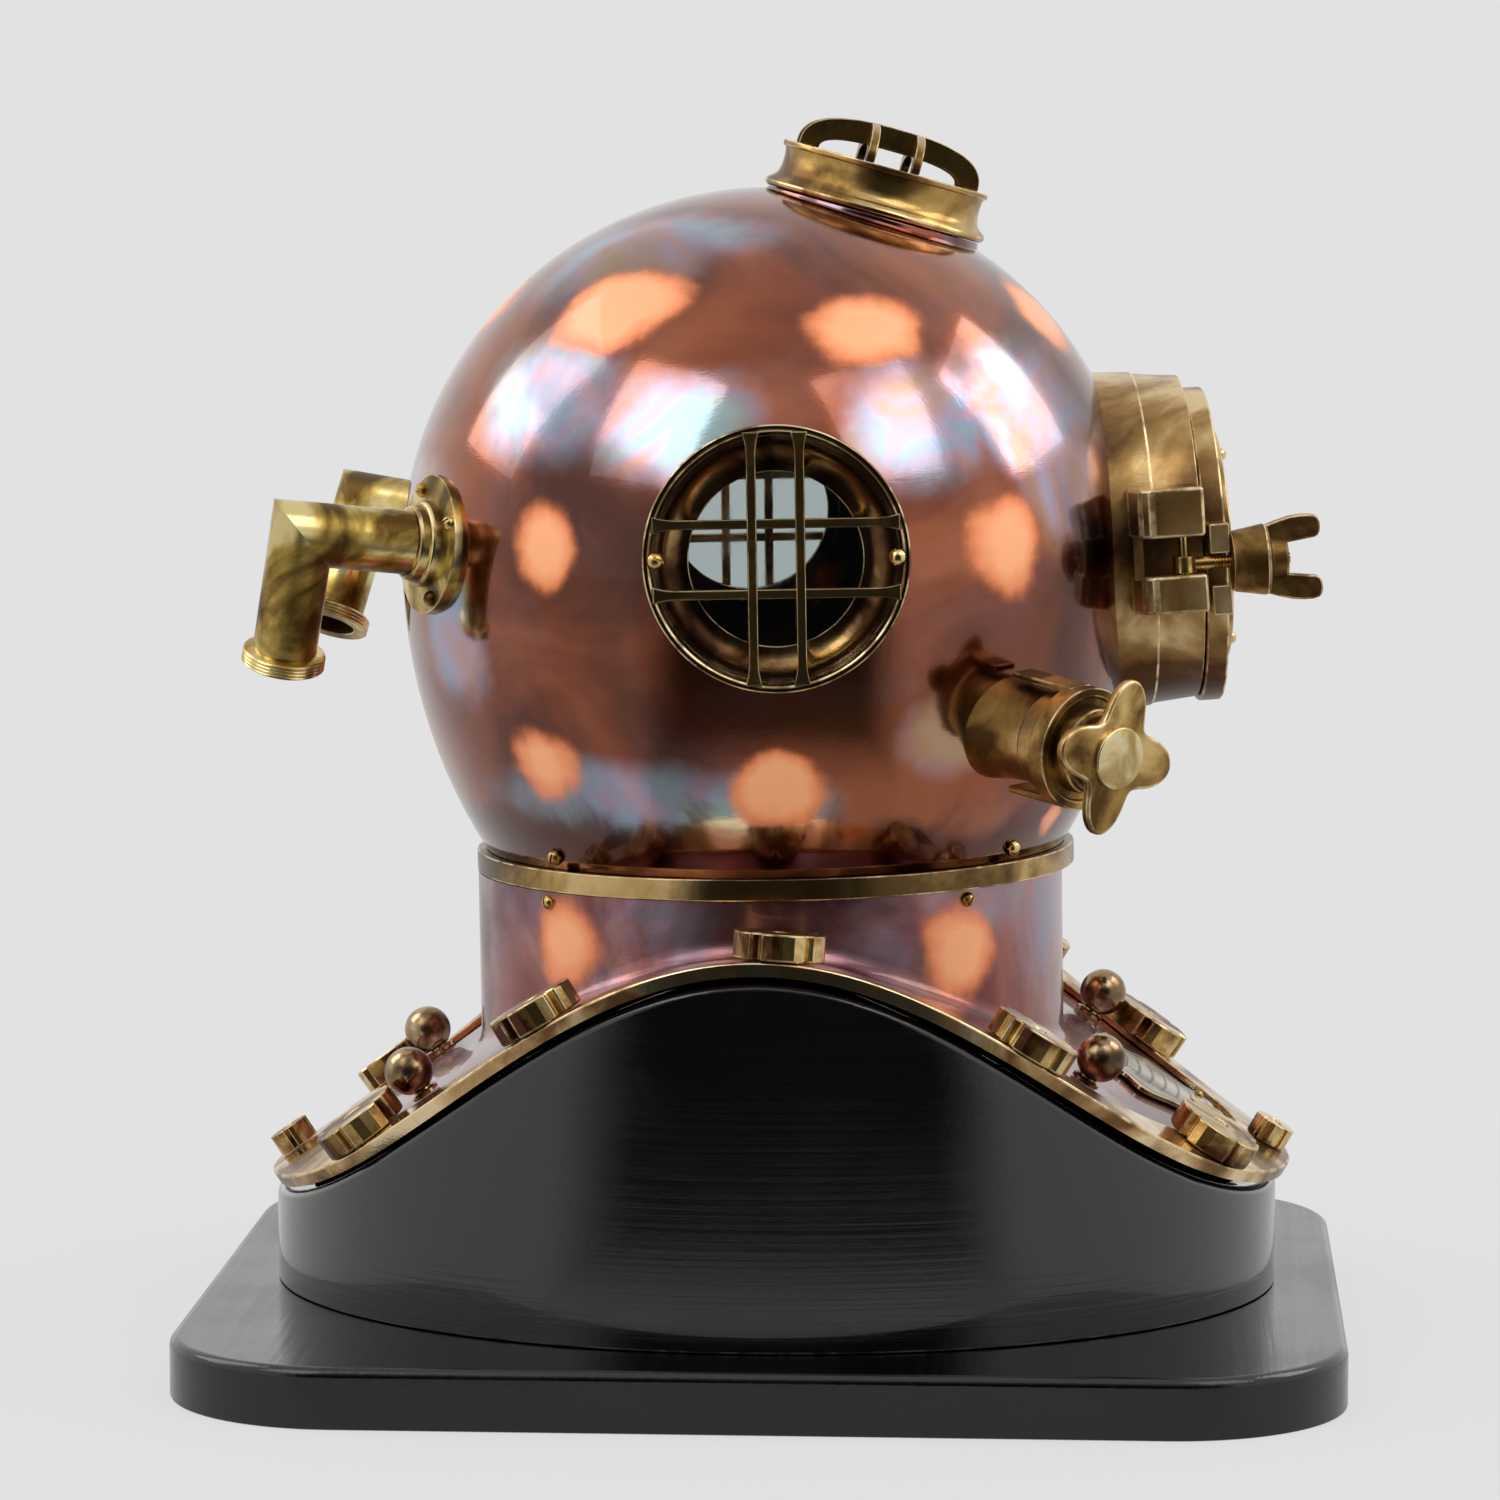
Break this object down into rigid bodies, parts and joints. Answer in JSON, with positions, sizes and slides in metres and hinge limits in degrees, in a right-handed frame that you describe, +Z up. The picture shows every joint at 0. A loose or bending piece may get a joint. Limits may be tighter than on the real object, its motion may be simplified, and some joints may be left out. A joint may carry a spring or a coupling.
{
  "type": "diving helmet on a display stand",
  "caption": "Copper and brass diving helmet with grilled windows, swing-bolt front door, exhaust knob and air elbows, resting on a black drum and plate stand.",
  "frame": {"origin": "centre of the stand plate's underside", "axes": "+Z up; -Y is the helmet's front, with its door and name plate; -X is the helmet's right side, with the exhaust knob"},
  "size_m": [0.423, 0.486, 0.5238],
  "materials": {
    "bonnet_copper": "burnished copper with heat tints",
    "corselet_copper": "burnished copper with heat tints",
    "cast_brass": "aged brass with bright worn edges",
    "aged_brass": "dark mottled brass with worn edges",
    "strap_brass": "polished brass strap",
    "plate_brass": "dull polished brass sheet",
    "window_glass": "clear, over a dark inside",
    "black_lacquer": "black gloss lacquer"
  },
  "bodies": {
    "corselet": {"ball_stud_left_back": "aged_brass", "ball_stud_left_front": "aged_brass", "ball_stud_right_back": "aged_brass", "ball_stud_right_front": "aged_brass", "breastplate": "corselet_copper", "nameplate": "plate_brass", "neck_screw_1": "cast_brass", "neck_screw_2": "cast_brass", "neck_screw_3": "cast_brass", "neck_screw_4": "cast_brass", "rim_nut_back": "cast_brass", "rim_nut_front": "cast_brass", "rim_nut_left_back_high": "cast_brass", "rim_nut_left_back_low": "cast_brass", "rim_nut_left_front_high": "cast_brass", "rim_nut_left_front_low": "cast_brass", "rim_nut_left_shoulder": "cast_brass", "rim_nut_right_back_high": "cast_brass", "rim_nut_right_back_low": "cast_brass", "rim_nut_right_front_high": "cast_brass", "rim_nut_right_front_low": "cast_brass", "rim_nut_right_shoulder": "cast_brass", "rim_strap": "strap_brass", "stand_bust": "black_lacquer", "stand_plate": "black_lacquer"},
    "bonnet": {"bolt_pin": "cast_brass", "bonnet": "bonnet_copper", "bonnet_screw_1": "cast_brass", "bonnet_screw_2": "cast_brass", "bonnet_screw_3": "cast_brass", "bonnet_screw_4": "cast_brass", "collar_ring": "cast_brass", "door": "cast_brass", "door_glass": "window_glass", "elbow_left": "aged_brass", "elbow_right": "aged_brass", "exhaust_body": "cast_brass", "exhaust_cap": "cast_brass", "glass_keeper": "cast_brass", "hinge_pin": "cast_brass", "side_glass_left": "window_glass", "side_glass_right": "window_glass", "side_port_left": "aged_brass", "side_port_right": "aged_brass", "side_port_screw_left_1": "cast_brass", "side_port_screw_left_2": "cast_brass", "side_port_screw_right_1": "cast_brass", "side_port_screw_right_2": "cast_brass", "top_glass": "window_glass", "top_guard": "aged_brass", "top_port_collar": "bonnet_copper", "top_port_frame": "aged_brass", "window_housing": "cast_brass"},
    "exhaust_knob": {"exhaust_knob": "cast_brass"},
    "swing_bolt": {"swing_bolt": "cast_brass"},
    "wing_nut": {"wing_nut": "cast_brass"}
  },
  "joints": [
    {"name": "bonnet_turn", "type": "hinge", "parent": "corselet", "child": "bonnet", "pos_m": [0, 0, 0.2047], "axis": [0, 0.0157, 0.9999], "range_deg": [0, 45]},
    {"name": "exhaust_knob_turn", "type": "hinge", "parent": "bonnet", "child": "exhaust_knob", "pos_m": [-0.15128, -0.14383, 0.26864], "axis": [-0.7041, -0.7, -0.1195], "range_deg": [-180, 180]},
    {"name": "swing_bolt_swing", "type": "hinge", "parent": "bonnet", "child": "swing_bolt", "pos_m": [-0.06266, -0.17414, 0.33921], "axis": [0.0049, -0.0643, -0.9979], "range_deg": [0, 95]},
    {"name": "wing_nut_turn", "type": "hinge", "parent": "swing_bolt", "child": "wing_nut", "pos_m": [-0.06266, -0.17414, 0.33921], "axis": [0.1001, -0.9929, 0.0645], "continuous": true}
  ]
}
